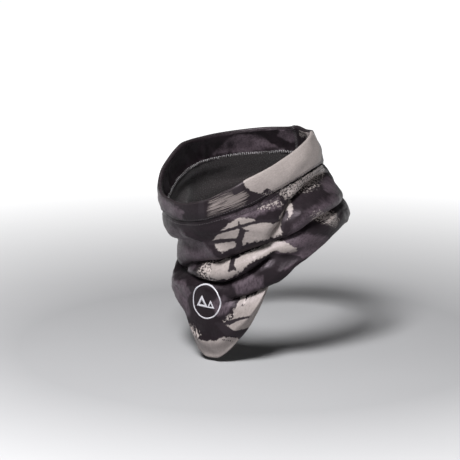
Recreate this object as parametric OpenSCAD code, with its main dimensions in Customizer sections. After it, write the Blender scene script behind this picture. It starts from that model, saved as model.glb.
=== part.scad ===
// Neck gaiter with a pointed chest bib, shaped as it sits when worn.
// Frame: origin on the neck axis at shoulder level, +Z up, -Y towards the wearer's face,
// +X towards the wearer's left. All lengths are in millimetres.

/* [Collar] */
// Length of the collar rim, front to back
rim_length = 205; // [190:1:215]
// Width of the collar rim, side to side
rim_width = 154; // [146:1:164]
// Height of the rim over the shoulders, at the sides and the back
rim_height = 96; // [92:1:104]
// How much lower the rim is at the chin
chin_dip = 53; // [40:1:56]
// Depth of the folded collar band
band_depth = 24; // [20:1:27]
// How far the neck leans forward at the rim
neck_lean = 30; // [10:1:34]

/* [Body] */
// Length of the bottom edge, front to back
hem_length = 184; // [176:1:192]
// Width of the bottom edge, side to side
hem_width = 206; // [198:1:214]
// Height of the bottom edge at the sides and the back
hem_height = 12; // [8:1:14]
// How far the scrunched rolls stand out
roll_out = 6; // [3:0.5:8]

/* [Bib] */
// Depth of the bib's tip below the shoulders
bib_depth = 122; // [105:1:140]
// Half of the angle round the neck that the bib covers
bib_half_angle = 45; // [38:1:50]

/* [Cloth] */
// Thickness of the printed stretch cloth
shell_t = 1.2; // [1:0.1:1.4]
// Thickness of the fleece
fleece_t = 2.2; // [1.8:0.1:2.6]
// Height of the shell's turned-up edge inside the hem
hem_turn = 5; // [4:0.5:5.5]

/* [Trim] */
// Diameter of the round chest badge
badge_d = 36; // [28:1:40]
// Width of the care label
label_w = 24; // [18:1:28]
// Height of the care label
label_h = 20; // [16:1:22]

/* [Hidden] */

STEP_ANGLE = 7.5;       // degrees between the columns of a closed cloth
CORNER = 2.6;           // 2 gives an elliptical outline, more makes it fuller
DIP_POWER = 3;          // how tightly the front dips gather round the chin
BIB_POWER = 1.6;        // 1 gives a straight-sided bib, more rounds its tip
CLEAR = 0.2;            // air between two layers that lie on each other
FOLD_T = shell_t + 2 * CLEAR + fleece_t; // thickness of all the layers together
SEAM_ANGLE = 174;       // the back seams sit a little to one side of the nape
THREAD_T = 0.5;         // thickness of a line of stitches
SEAM_T = 1.2;           // thickness of a back seam's ridge, measured level
LIFT = 0.3;             // air under a trim piece, more than a facet's sagitta
RIM_ROUND = 0.7;        // height of the rim's fold as a share of its radius
STITCH_RISE = 1.4;      // height of the band's stitching above its seam
COVER_RISE = 1.8;       // half the height of the coverstitch inside
BASE_FRONT = -62;       // height that the bottom edge would have at the front with no bib

// Levels up the cloth. Each row is [front radius, side radius, back radius,
// front height, side height, back height] of one outline round the neck axis.
HEM = 0;
UPPER_ROLL = 3;
BAND_LINE = 5;
RIM = 6;
band_side_r = rim_width / 2 + 6;
rows = [
    [hem_length / 2, hem_width / 2, hem_length / 2, BASE_FRONT, hem_height, hem_height],
    [hem_length / 2, hem_width / 2, hem_length / 2 + 2, -30, hem_height + 12, hem_height + 10],
    [hem_length / 2 - 4, hem_width / 2 - 5, hem_length / 2 - 2, -16, hem_height + 20, hem_height + 20],
    [rim_length / 2 - 9 + roll_out, hem_width / 2 - 7 + roll_out, hem_length / 2 + roll_out,
        -3, hem_height + 30, hem_height + 30],
    [rim_length / 2 - 3, band_side_r + 3, rim_length / 2 - 8, 10, hem_height + 44, hem_height + 44],
    [rim_length / 2 - 1, band_side_r, rim_length / 2 - 5,
        rim_height - chin_dip - band_depth + 3, rim_height - band_depth, rim_height - band_depth],
    [rim_length / 2, rim_width / 2, rim_length / 2, rim_height - chin_dip, rim_height, rim_height]
];

// Share of a front value in use at angle a, where 0 is the front.
function front_share(a) = pow((1 + cos(a)) / 2, DIP_POWER);

// Radius of an outline with the given front, side and back radii, at angle a.
function outline(front, side, back, a) =
    let (along = cos(a) > 0 ? front : back)
    pow(pow(abs(cos(a)) / along, CORNER) + pow(abs(sin(a)) / side, CORNER), -1 / CORNER);

// Drop of the bottom edge that makes the bib.
function bib_drop(a) =
    let (share = min(1, abs(a > 180 ? a - 360 : a) / bib_half_angle))
    (bib_depth + BASE_FRONT) * (1 - pow(share, BIB_POWER));

function row_radius(i, a) = outline(rows[i][0], rows[i][1], rows[i][2], a);

function row_height(i, a) =
    rows[i][4] + (rows[i][3] - rows[i][4]) * front_share(a)
    + (rows[i][5] - rows[i][4]) * front_share(a + 180) - (i == HEM ? bib_drop(a) : 0);

// Smooth curve through four values, at share s between the middle two.
function through(p, q, r, s4, s) =
    q + 0.5 * s * (r - p + s * (2 * p - 5 * q + 4 * r - s4 + s * (3 * (q - r) + s4 - p)));

function clamp_row(i) = min(RIM, max(HEM, i));

// [radius, height] of the outer surface at a level, which may lie between rows.
function profile(level, a) =
    let (i = min(RIM - 1, floor(level)), s = level - i, k = [for (j = [-1:2]) clamp_row(i + j)])
    [
        through(row_radius(k[0], a), row_radius(k[1], a), row_radius(k[2], a), row_radius(k[3], a), s),
        through(row_height(k[0], a), row_height(k[1], a), row_height(k[2], a), row_height(k[3], a), s)
    ];

function lean(z) = -neck_lean * max(0, z) / rim_height;

// The point at [level, inset, rise]: inset is measured inwards and rise is added upwards.
function cloth_point(p, a) =
    let (rz = profile(p[0], a), r = rz[0] - p[1], z = rz[1] + p[2])
    [r * sin(a), lean(z) - r * cos(a), z];

// Joins rings of n points each, one ring per station, into a solid. A closed solid comes back to
// its first ring. An open one gets flat ends.
module join_rings(points, n, closed) {
    stations = len(points) / n;
    sides = [
        for (i = [0:closed ? stations - 1 : stations - 2])
            for (j = [0:n - 1])
                let (k = (i + 1) % stations, m = (j + 1) % n)
                each [[i * n + j, k * n + j, k * n + m], [i * n + j, k * n + m, i * n + m]]
    ];
    ends = closed ? [] : [
        [for (j = [0:n - 1]) j],
        [for (j = [n - 1:-1:0]) (stations - 1) * n + j]
    ];
    polyhedron(points = points, faces = concat(sides, ends), convexity = 10);
}

// Sweeps a closed section of [level, inset, rise] points all the way round the neck.
module cloth(section) {
    points = [
        for (a = [0:STEP_ANGLE:360 - STEP_ANGLE])
            for (p = section) cloth_point(p, a)
    ];
    join_rings(points, len(section), true);
}

// A narrow ribbon up the cloth between two angles, from level0 and rise0 to level1 and rise1.
module ribbon(level0, level1, rise0, rise1, a0, a1, outer, inner, steps) {
    middle = (a0 + a1) / 2;
    section = [[outer, a1], [outer, middle], [outer, a0], [inner, a0], [inner, middle], [inner, a1]];
    points = [
        for (i = [0:steps])
            for (q = section)
                cloth_point([
                    level0 + (level1 - level0) * i / steps,
                    q[0],
                    rise0 + (rise1 - rise0) * i / steps
                ], q[1])
    ];
    join_rings(points, len(section), false);
}

// A flat strip section beside one level, between two insets and two rises.
function strip(level, outer, inner, rise0, rise1) = [
    [level, outer, rise0], [level, outer, rise1], [level, inner, rise1], [level, inner, rise0]
];

BODY_STEPS = 12; // points up the body of the shell and the lining
BAND_STEPS = 3;  // points up the collar band

module outer_shell() {
    up = [for (i = [0:BODY_STEPS]) [BAND_LINE * i / BODY_STEPS, 0, 0]];
    down = [for (i = [BODY_STEPS:-1:1]) [BAND_LINE * i / BODY_STEPS, shell_t, 0]];
    turned_edge = [
        [HEM, shell_t, shell_t],
        [HEM, FOLD_T - shell_t, shell_t],
        [HEM, FOLD_T - shell_t, hem_turn],
        [HEM, FOLD_T, hem_turn],
        [HEM, FOLD_T, 0]
    ];
    color([0.28, 0.25, 0.28])
        cloth(concat(up, down, turned_edge));
}

module fleece_lining() {
    outer = shell_t + 2 * CLEAR;
    body = [for (i = [1:BODY_STEPS]) BAND_LINE * i / BODY_STEPS];
    color([0.2, 0.2, 0.2])
        cloth(concat(
            [[HEM, outer, hem_turn + CLEAR]],
            [for (level = body) [level, outer, 0]],
            [for (i = [len(body) - 1:-1:0]) [body[i], outer + fleece_t, 0]],
            [[HEM, outer + fleece_t, hem_turn + CLEAR]]
        ));
}

// A strip folded over the rim: outside face, fold and inside facing are one cloth.
module collar_band() {
    levels = [for (i = [0:BAND_STEPS]) BAND_LINE + i / BAND_STEPS];
    fold_r = FOLD_T / 2;
    over = [for (t = [30, 90, 150]) [RIM, fold_r - fold_r * cos(t), fold_r * sin(t) * RIM_ROUND]];
    color([0.72, 0.68, 0.66])
        cloth(concat(
            [for (level = levels) [level, 0, level == BAND_LINE ? CLEAR : 0]],
            over,
            [for (i = [BAND_STEPS:-1:0]) [levels[i], FOLD_T, i == 0 ? CLEAR : 0]],
            [for (i = [0:BAND_STEPS]) [levels[i], FOLD_T - shell_t, i == 0 ? CLEAR : 0]],
            [for (i = [BAND_STEPS:-1:0]) [levels[i], shell_t, i == 0 ? CLEAR : 0]]
        ));
}

// A line of stitches round the band, just above its seam.
module band_topstitch() {
    color([0.25, 0.22, 0.25])
        cloth(strip(BAND_LINE, -THREAD_T - CLEAR, -CLEAR, STITCH_RISE, STITCH_RISE + 1));
}

// The broad line of stitches inside that holds the facing's edge down.
module facing_coverstitch() {
    color([0.6, 0.6, 0.6])
        cloth(strip(BAND_LINE, FOLD_T + CLEAR, FOLD_T + CLEAR + THREAD_T, -COVER_RISE, COVER_RISE));
}

// A ridge up the back seam, between two insets.
module back_seam(level0, level1, rise0, rise1, outer, inner, half_angle, steps) {
    ribbon(level0, level1, rise0, rise1, SEAM_ANGLE - half_angle, SEAM_ANGLE + half_angle,
        outer, inner, steps);
}

module shell_back_seam() {
    color([0.25, 0.22, 0.25])
        back_seam(HEM, BAND_LINE, 1, -1, -SEAM_T - CLEAR, -CLEAR, 1.2, BODY_STEPS);
}

module lining_back_seam() {
    color([0.35, 0.35, 0.35])
        back_seam(HEM, BAND_LINE, hem_turn + 1, -3, FOLD_T + LIFT, FOLD_T + LIFT + SEAM_T, 1.2, BODY_STEPS);
}

// The closing seam's allowance, which lies inside the folded band.
module collar_back_seam() {
    color([0.3, 0.27, 0.3])
        back_seam(BAND_LINE, RIM, 1, -1, shell_t + LIFT, FOLD_T - shell_t - CLEAR, 2, BAND_STEPS);
}

module hem_seam() {
    color([0.3, 0.3, 0.3])
        cloth(strip(HEM, shell_t + CLEAR, FOLD_T - shell_t - CLEAR, shell_t + 0.6, shell_t + 2.4));
}

// The chest badge's plane: its centre on the bib, and a map from flat [x, y] to the cloth.
BADGE_LEVEL = 0.62;
BADGE_ANGLE = 0;
BADGE_FILM = 0.3; // thickness of the transfer film
BADGE_LINE = 1.4; // width of the ring's line
BADGE_SPAN = 0.25; // levels below and above the centre between which the badge's cloth is straight
PEAKS = [[-4.5, 12, 7.5], [6.5, 8, 4.5]]; // place across, height and half width of each peak
PEAK_BASE = -6; // height of the peaks' feet over the badge's centre
PEAK_OPENING = 0.45; // size of the opening in a peak, as a share of the peak

// The cloth point that lies x across and y up from the badge's centre, raised off the shell.
function badge_point(x, y, raise) =
    let (
        centre = profile(BADGE_LEVEL, BADGE_ANGLE),
        a = BADGE_ANGLE + x / centre[0] * 180 / PI,
        low = profile(BADGE_LEVEL - BADGE_SPAN, a),
        high = profile(BADGE_LEVEL + BADGE_SPAN, a),
        share = (centre[1] + y - low[1]) / (high[1] - low[1]),
        r = low[0] + (high[0] - low[0]) * share + raise
    )
    [r * sin(a), -r * cos(a), centre[1] + y];

// A film laid on the cloth between two flat outlines that have the same number of points.
module film(inside, outside) {
    n = len(outside);
    points = [
        for (raise = [LIFT, LIFT + BADGE_FILM]) for (path = [inside, outside])
            for (p = path) badge_point(p[0], p[1], raise)
    ];
    faces = [
        for (j = [0:n - 1]) let (m = (j + 1) % n) each [
            [j, m, n + m], [j, n + m, n + j],
            [2 * n + j, 3 * n + j, 3 * n + m], [2 * n + j, 3 * n + m, 2 * n + m],
            [n + j, n + m, 3 * n + m], [n + j, 3 * n + m, 3 * n + j],
            [j, 2 * n + j, 2 * n + m], [j, 2 * n + m, m]
        ]
    ];
    polyhedron(points = points, faces = faces, convexity = 6);
}

function circle_points(d) = [for (t = [0:10:350]) d / 2 * [cos(t), sin(t)]];

module badge_ring() {
    color([0.9, 0.9, 0.92])
        film(circle_points(badge_d - 2 * BADGE_LINE), circle_points(badge_d));
}

// The outline of one peak.
function peak(x, base, height, half_width) = [
    [x - half_width, base], [x, base + height], [x + half_width, base]
];

module badge_peaks() {
    color([0.9, 0.9, 0.92])
        for (p = PEAKS) {
            outer = peak(p[0], PEAK_BASE, p[1], p[2]);
            centre = (outer[0] + outer[1] + outer[2]) / 3;
            film([for (q = outer) centre + (q - centre) * PEAK_OPENING], outer);
        }
}

// A blank satin label, which hangs from the inside of the band seam beside the back seam.
module care_label() {
    turn = label_w / (rim_length / 2) * 180 / PI;
    inset = FOLD_T + SEAM_T + 3 * LIFT;
    level_height = (row_height(BAND_LINE, 180) - row_height(UPPER_ROLL, 180)) / (BAND_LINE - UPPER_ROLL);
    bottom = BAND_LINE - label_h / level_height;
    color([0.85, 0.85, 0.83])
        ribbon(bottom, BAND_LINE, -3, -3, SEAM_ANGLE - 3 - turn, SEAM_ANGLE - 3,
            inset, inset + THREAD_T, 4);
}

outer_shell();
fleece_lining();
collar_band();
band_topstitch();
facing_coverstitch();
shell_back_seam();
lining_back_seam();
collar_back_seam();
hem_seam();
badge_ring();
badge_peaks();
care_label();
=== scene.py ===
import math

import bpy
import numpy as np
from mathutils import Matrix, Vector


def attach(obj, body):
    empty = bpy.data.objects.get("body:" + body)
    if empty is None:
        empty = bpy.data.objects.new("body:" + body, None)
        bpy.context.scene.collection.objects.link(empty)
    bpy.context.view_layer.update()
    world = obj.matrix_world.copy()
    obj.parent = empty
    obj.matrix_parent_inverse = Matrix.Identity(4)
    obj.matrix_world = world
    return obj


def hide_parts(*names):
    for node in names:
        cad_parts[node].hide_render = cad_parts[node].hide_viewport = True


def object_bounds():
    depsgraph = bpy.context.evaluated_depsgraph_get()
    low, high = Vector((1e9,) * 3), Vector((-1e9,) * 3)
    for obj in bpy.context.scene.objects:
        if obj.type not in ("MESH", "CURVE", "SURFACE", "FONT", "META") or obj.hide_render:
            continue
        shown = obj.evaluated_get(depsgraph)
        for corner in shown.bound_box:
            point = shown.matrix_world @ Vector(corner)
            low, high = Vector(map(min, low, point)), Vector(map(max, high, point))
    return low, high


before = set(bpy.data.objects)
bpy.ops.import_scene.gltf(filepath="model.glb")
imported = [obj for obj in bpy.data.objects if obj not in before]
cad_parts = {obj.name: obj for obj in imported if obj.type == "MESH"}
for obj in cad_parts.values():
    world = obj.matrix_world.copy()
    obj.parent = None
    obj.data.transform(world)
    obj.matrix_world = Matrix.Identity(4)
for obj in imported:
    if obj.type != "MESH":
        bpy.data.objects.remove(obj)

# A worn neck gaiter: a printed stretch shell with scrunched rolls and a pointed bib, a folded collar
# band, a fleece lining, their stitching, a chest badge and a blank care label.
#
# Every surface is a grid of points in round coordinates: an angle round the neck in degrees (0 at the
# front, growing towards the wearer's left), a radius from the leaning neck axis and a height, both in
# millimetres. Millimetres become metres only when a mesh is made.

CAD_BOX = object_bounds()
MM = 0.001  # one millimetre in metres
ARC = 95 * math.pi / 180  # length of one degree round the neck, at the usual radius
LEAN = 30  # how far forward the neck axis is at the rim
LEAN_HEIGHT = 95  # the height at which it is that far forward
LEAN_LIMIT = 1.3  # the axis leans no further above this share of that height
FAR = 1e9  # farther than any point of the gaiter

# ---------------- grids and thicknesses
SEAM_ANGLE = 174  # the back seams, where each piece of cloth is closed into a ring
COLUMNS = 300  # columns of a closed cloth
COLUMN_W = 360 / COLUMNS * ARC  # width of a column on the flat cloth
ANGLES = np.arange(COLUMNS) * 360 / COLUMNS + SEAM_ANGLE - 360
SHELL_ROWS = 150
BAND_ROWS = 26
LINING_ROWS = 64
SHELL_T = 1.2  # thickness of the printed stretch cloth
FLEECE_T = 2.2
FOLD_T = 3.8  # thickness of all the layers together

# ---------------- how the cloth is shaped
SEAM_TUCK = 0.9  # how far the cloth dips into the seam between shell and band
SHELL_TUCK_FROM = 0.965  # share of the way up the shell at which the dip starts
BAND_TUCK_TO = 0.1  # share of the way up the band at which it ends
SHELL_DITCH = 1.2  # depth of the ditch along the back seam
BAND_DITCH = 1.0
DITCH_W = 1.8  # half the width of that ditch
HEM_CURL = 7  # how far the bottom edge turns in towards the chest
HEM_CURL_TO = 0.12  # share of the way up the shell at which the turning in ends
HEM_TURN = 5  # height of the shell's turned-up edge inside the hem
HEM_ROWS = (6, 4, 2)  # rows of the shell that the turned-up edge lies behind
HEM_BEND = (0.5, 0.4)  # half the gap in the hem's fold and its reach, as shares of FOLD_T
RIM_BEND = (0.52, 0.5)  # the same for the band's fold over the rim
BAND_PUFF = 2.2  # how far the middle of the band stands out
BAND_WRINKLE = 1.6  # size of the band's and the lining's own small waves
LINING_CREASE = 0.4
FACING_GAP = 1  # how much further in than FOLD_T the facing stands
OVER_LINING = 1.6  # how far the facing's edge stands over the lining
OVER_LINING_TO = 0.3  # share of the way up the facing at which that ends
PUCKER = 2.6  # how far the facing's gathers stand out
LINING_TUCK = 4  # how far the lining goes up inside the folded band
LINING_GAP = 1.2  # room between shell and lining
LINING_REACH = 6  # the lining clears all of the shell within this height of it
HEM_GAP = 0.5  # room between the lining's bottom edge and the turned hem
# The shell's small wrinkles: size, slant in degrees for each millimetre up, waves round the neck,
# height of a wave and random seed.
WRINKLES = [(0.7, 0, 36, 8, 1), (0.4, 1 / 3, 80, 5, 2), (0.45, -1 / 2, 56, 7, 4)]
NOISE_ROWS = 64  # the random values repeat after this many waves up
ROUTE_STEPS = 8  # points of a fold's smooth route for each point that is given
EDGE_REACH = 6  # how deep inside a patch of print its field goes on growing
DENSER = 0.02  # how much denser speckles and brush strokes get for each millimetre inside a patch

# ---------------- badge, label and thread
BADGE_AT = (0, -62)  # angle and height of the badge's centre
BADGE_D = 36
BADGE_LINE = 1.4  # width of the ring's line
PEAKS = [(-4.5, 12, 7.5), (6.5, 8, 4.5)]  # place across, height and half width of each peak
PEAK_BASE = -6  # height of the peaks' feet over the badge's centre
PEAK_OPENING = 0.45  # size of the opening in a peak, as a share of the peak
FILM_T = 0.28  # thickness of the badge's film
FILM_GAP = 0.05  # how far its underside stands off the cloth
FILM_CROWN = 1.1  # height of the middle of its lines, as a share of FILM_T
LABEL_W = 24
LABEL_H = 20
LABEL_T = 0.3
LABEL_COLUMNS = 25
LABEL_ROWS = 21
LABEL_WEAVE = 0.83  # millimetres of satin weave for each of the label's columns
LABEL_RADIUS = 92  # radius of the lining where the label hangs
LABEL_ASIDE = 3  # degrees from the back seam to the label
LABEL_DROP = 1  # from the lining's top edge down to the label
LABEL_LIFT = 0.9  # how far the label stands off the lining
LABEL_CURL = 1.6  # how much further its bottom corners do
LABEL_WAVE = 0.5  # and how far it waves from top to bottom
THREAD_R = 0.26  # radius of a sewing thread
COVER_THREAD_R = 0.42  # the coverstitch is sewn with a thicker thread
TWIST = 0.2244  # between the turns of a thread's yarns
RING = 6  # corners round a thread
STATIONS = 7  # rings of corners along a stitch
# Kinds of stitch: pitch, length and slant in degrees. Slanted stitches lean to each side in turn.
TOPSTITCH = (2.9, 2.2, 0)
LOCKSTITCH = (2.8, 2.2, 0)
HEM_ZIGZAG = (1.6, 3, 48)
SEAM_ZIGZAG = (1.7, 4, 50)
COVERSTITCH = (2.3, 3.6, 76)
BAND_STITCH_ROW = 2.8  # where each line of stitches runs, in rows of its grid
SHELL_STITCH_ROW = SHELL_ROWS - 5
HEM_ZIGZAG_ROW = 0.4
HEM_STRAIGHT_ROW = 1.4
COVER_STITCH_UP = 1.6  # rows from the facing's edge to the coverstitch
SEAM_SIDE = 2.1  # from the back seam to the straight line on each side of it

# ---------------- colours, as linear red, green, blue
GROUND = ((0.005, 0.0035, 0.0045), (0.017, 0.012, 0.015))
MOTTLE = (0.006, 0.004, 0.005)
MAUVE = ((0.034, 0.025, 0.031), (0.105, 0.081, 0.097))
LIGHT = ((0.185, 0.16, 0.152), (0.37, 0.33, 0.316))
FLECK = (0.14, 0.118, 0.118)
DUST = (0.38, 0.335, 0.32)
STROKES = (0.20, 0.172, 0.165)
# print ink; the same colour is also the painted shade in the dent and along the pinch crease
INK_AND_PAINTED_SHADE = ((0.010, 0.008, 0.010), (0.022, 0.017, 0.020))
WORN = (0.20, 0.18, 0.18)
SATIN_TINT = (0.97, 0.84, 0.94, 1)
FLEECE = ((0.006, 0.004, 0.0045), (0.030, 0.024, 0.026))
PILLS = (0.055, 0.047, 0.050)
THREADS = {
    "dark_thread": ((0.030, 0.024, 0.028), (0.12, 0.105, 0.115)),
    "light_thread": ((0.16, 0.155, 0.16), (0.50, 0.49, 0.50)),
}
FILM = ((0.52, 0.51, 0.55), (0.42, 0.41, 0.45))
FILM_CRACK = (0.42, 0.41, 0.44)
LABEL_SATIN = ((0.62, 0.60, 0.57), (0.80, 0.785, 0.76))
PAPER = ((0.36, 0.36, 0.37), (0.39, 0.39, 0.40))

# ---------------- studio, in metres and watts
AZIMUTH = math.radians(33)  # the side and height that the photograph was taken from
ELEVATION = math.radians(12)
DISTANCE = 2.0
LENS = 149.07  # focal length in millimetres
ASIDE = 0.02625  # how far left of the neck axis the camera aims
BELOW = 0.0042  # how far below the origin it aims
FLOOR_W = 24
FLOOR_DROP = 0.004  # from the object's lowest point down to the floor
GLOW = (0.25, 1.0)  # where the paper starts to glow, and where it glows fully
WORLD_LIGHT = 0.05
LAMPS = {  # place, side and power of each square softbox
    "key": ((0.18, -0.95, 1.2), 0.45, 42),
    "fill": ((1.3, -0.6, 0.5), 0.8, 1),
    "top": ((0.1, 0.7, 1.2), 0.6, 0.6),
}

# ---------------- shapes of the worn cloth
# Lines round the gaiter, each a list of (angle, radius, height).
RIM = [(-180, 98, 96), (-164, 96, 94), (-142, 92, 90), (-124, 88, 87), (-99, 84, 83), (-88, 85, 76),
    (-78, 87, 68), (-66, 90, 59), (-57, 92.5, 50), (-45, 94, 43), (-26, 97, 40), (-13, 100, 39),
    (0, 101, 43), (8, 99, 47), (17, 97, 54), (26, 95, 61), (36, 89, 69), (49, 82, 76), (75, 75, 89),
    (93, 75, 97), (112, 76, 102), (126, 77, 104), (142, 82, 101), (161, 90, 98), (172, 96, 99)]
BAND_LINE = [(-180, 97, 66), (-150, 95, 62), (-120, 91, 57), (-90, 90, 44), (-75, 92, 32),
    (-57, 93.5, 20), (-30, 98, 23), (-17, 101, 21), (-6, 101.5, 22), (5, 101.5, 25), (15, 99.5, 31),
    (24, 96.5, 36), (34, 92.5, 42), (54, 85, 56), (72, 82, 64), (90, 82, 71), (108, 82.5, 73),
    (123, 83, 69), (150, 90, 66)]
UPPER_LINE = [(-180, 98, 57), (-150, 97, 54), (-120, 94, 48), (-90, 93, 34), (-75, 94, 20),
    (-57, 94.5, 8), (-35, 98, 7), (-17, 101, 10), (0, 101, 13), (15, 100, 20), (33, 96, 29), (45, 92, 36),
    (56, 88, 43), (66, 85.5, 50), (78, 84, 56), (94, 83.5, 60), (106, 84, 62), (123, 87, 61),
    (150, 93, 58)]
MIDDLE_LINE = [(-180, 99, 48), (-150, 97, 44), (-120, 94, 36), (-90, 92, 16), (-75, 88, -4),
    (-57, 83, -20), (-25, 91, -12), (-10, 94, -9), (0, 95.5, -7), (15, 98, 1), (33, 99, 12),
    (45, 99.5, 19), (56, 100, 26), (66, 100.5, 33), (78, 100.5, 39), (94, 99, 43), (106, 97, 46),
    (123, 95.5, 47), (150, 97, 48)]
LOWER_LINE = [(-180, 103, 26), (-150, 101, 22), (-120, 97, 13), (-90, 91, -6), (-75, 86, -22),
    (-57, 82, -34), (-40, 84.5, -33), (-26, 88, -31), (-14, 92, -30), (0, 96, -30), (9, 97, -29),
    (18, 98, -24), (29, 99, -15), (37, 99, -7), (48, 99.5, 0), (60, 100, 6), (76, 101, 16),
    (90, 101.5, 21), (106, 102, 23), (123, 102.5, 22), (150, 103, 24)]
CHEST_LINE = [(-180, 102, 17), (-150, 101, 13), (-120, 98, 2), (-90, 93, -20), (-75, 91, -36),
    (-57, 89, -51), (-40, 91, -51), (-26, 92, -52), (-14, 93, -54), (0, 94, -56), (15, 95, -52),
    (33, 96, -37), (44, 97, -26), (53, 98.5, -17), (71, 100, 2), (90, 101, 12), (106, 101.5, 15),
    (123, 101, 13), (150, 102, 16)]
HEM_LINE = [(-180, 97, 9), (-150, 97, 4), (-120, 95, -7), (-90, 91, -32), (-75, 89, -50), (-57, 86, -65),
    (-42, 88.5, -69), (-28, 90.5, -77), (-19, 92, -90), (-14.5, 93, -104), (-10, 94, -114),
    (-2, 95, -121), (6, 95.5, -120.5), (15, 96, -111), (22, 96.5, -98.5), (28, 97, -87), (34, 97.5, -70),
    (40, 97.5, -50), (45, 97.5, -38), (53, 98, -30), (62, 98.5, -22), (74, 99, -11), (88, 99, 2),
    (106, 98, 8), (123, 95.5, 5), (150, 96.5, 8)]
# The shell's lines, each after its share of the way up from the hem to the band.
SHELL_LEVELS = [(0, HEM_LINE), (0.40, CHEST_LINE), (0.58, LOWER_LINE), (0.76, MIDDLE_LINE),
                (0.90, UPPER_LINE), (1, BAND_LINE)]

# Folds pressed into the cloth. Each has its depth, its widths above and below its route, how far the
# roll above sags over it, how soft it is (1 is a sharp crease and 2 a smooth hollow), and the route of
# (angle, height, strength from 0 to 1). A negative depth is a ridge.
FOLDS = {
    "under_band": (1.3, 3, 3.5, 0, 1.6, [(-175, 63, 1), (-120, 54, 1), (-90, 41, 1), (-57, 16, 0.6),
        (-30, 20, 0.3), (0, 20, 0.3), (34, 38, 0.6), (72, 61, 1), (108, 70, 1), (150, 63, 1), (184, 63, 1)]),
    "front_bulge": (7, 5, 7, 3.5, 1.2, [(-75, -14, 0), (-57, -12, 1), (-35, -5, 1), (-14, 1, 0.9),
        (0, 2, 0.5), (8, 1, 0)]),
    "first": (17, 4, 8, 9, 1.8, [(-62, -35, 0), (-50, -33, 0.6), (-38, -29, 0.9), (-25, -22, 1),
        (-4, -16, 1), (8, -12, 1), (19, -6, 1), (26, -1, 1), (37, 5, 0.95), (48, 10, 0.9), (60, 16, 0.8),
        (68, 22, 0.75), (76, 27, 0.7), (90, 32, 0.7), (106, 33, 0.6), (123, 32, 0.4), (140, 31, 0)]),
    "second": (17, 4, 7.5, 9, 1.8, [(-75, -36, 0.3), (-58, -41, 0.8), (-44, -40, 1), (-26, -37, 1),
        (-14, -35, 1), (-2, -36, 1), (9, -36, 1), (18, -31, 1), (29, -21, 0.9), (37, -13, 0.75),
        (43, -8, 0.3), (48, -5, 0)]),
    "third": (10, 4, 8, 6, 1.7, [(11, -66, 0), (15, -59, 0.4), (20, -54, 0.8), (26, -51, 0.9),
        (34, -45, 1), (44, -39, 1), (52, -34, 0.6), (58, -30, 0)]),
    "hollow": (12, 4, 11, 4, 1.7, [(60, 40, 0), (68, 48, 0.6), (78, 55, 1), (90, 60, 1), (103, 62, 0.9),
        (115, 61, 0.5), (130, 58, 0)]),
    "pinch": (13, 3, 4.5, 4, 1.5, [(40, 12, 0), (43, 18, 0.9), (48, 24, 1), (54, 33, 1), (61, 43, 0.9),
        (70, 51, 0.6), (82, 58, 0)]),
    "pinch_beside": (5, 3, 4, 1, 1.4, [(48, 17, 0), (53, 23, 0.8), (59, 32, 1), (67, 42, 0.8), (78, 50, 0)]),
    "dent": (6, 6, 8, 0, 2, [(40, -6, 0), (45, -13, 0.8), (50, -14, 1), (56, -13, 0.8), (62, -12, 0)]),
    "dent_low_ridge": (-1.2, 2.4, 2.4, 0, 1.4, [(44, -28, 0), (47, -25, 1), (53, -22, 1), (61, -17, 0.8),
        (66, -12, 0)]),
    "facet": (3, 7, 5, 0, 2, [(-48, -14, 0), (-36, -8, 0.8), (-20, -4, 1), (-4, -5, 0.6), (4, -8, 0)]),
    "facet_ridge": (-6, 2.6, 5, 0, 1.1, [(-16, 12, 0), (-8, 9, 1), (-2, 5, 1), (4, 0, 1), (9, -5, 1),
        (14, -9, 0)]),
    "roll_ridge": (-2, 5, 5, 0, 1.8, [(64, 30, 0), (70, 34, 0.7), (80, 38, 1), (94, 39, 0.7), (106, 41, 0)]),
    "side_ridge": (-3.4, 3.5, 2.6, 0, 1.2, [(80, 15, 0), (88, 22, 0.8), (98, 27, 1), (110, 28, 0.9),
        (124, 26, 0)]),
    "roll_two": (-2.5, 5, 5, 0, 2, [(-48, -36, 0), (-34, -30, 0.8), (-16, -26, 1), (2, -25, 1),
        (16, -19, 1), (30, -8, 1), (42, 1, 0.6), (54, 6, 0)]),
    "brow_tuck": (1.6, 3, 4, 1, 1.4, [(14, 16, 0), (24, 30, 0.7), (36, 37, 1), (48, 43, 0.8), (58, 52, 0)]),
    "chest_pleat": (2.2, 4, 4, 1, 1.5, [(-52, -60, 0), (-36, -56, 1), (-24, -60, 0.8), (-14, -70, 0)]),
    "tip_pleat": (1.6, 4, 4, 0, 1.6, [(6, -84, 0), (4, -94, 1), (3, -108, 1), (2, -122, 0.6)]),
    "back_upper": (10, 4.5, 5.5, 5, 1.4, [(120, 50, 0), (138, 44, 0.8), (160, 40, 1), (184, 41, 0.7),
        (205, 36, 0.9), (225, 30, 1), (245, 22, 0.6), (262, 12, 0)]),
    "back_lower": (10, 4.5, 5.5, 5, 1.4, [(132, 32, 0), (150, 30, 0.6), (172, 29, 0.3), (190, 30, 0.6),
        (215, 22, 0.9), (240, 6, 1), (262, -10, 1), (285, -30, 0.9), (300, -40, 0.6), (310, -42, 0)]),
    "side_tuck": (8, 5, 6, 4, 1.4, [(258, 30, 0), (268, 20, 0.8), (280, 6, 1), (292, -6, 0.9),
        (303, -14, 0)]),
    "nape_tuck": (4, 4, 5, 2, 1.4, [(196, 58, 0), (206, 52, 0.8), (220, 46, 1), (236, 36, 0)]),
}
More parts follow.
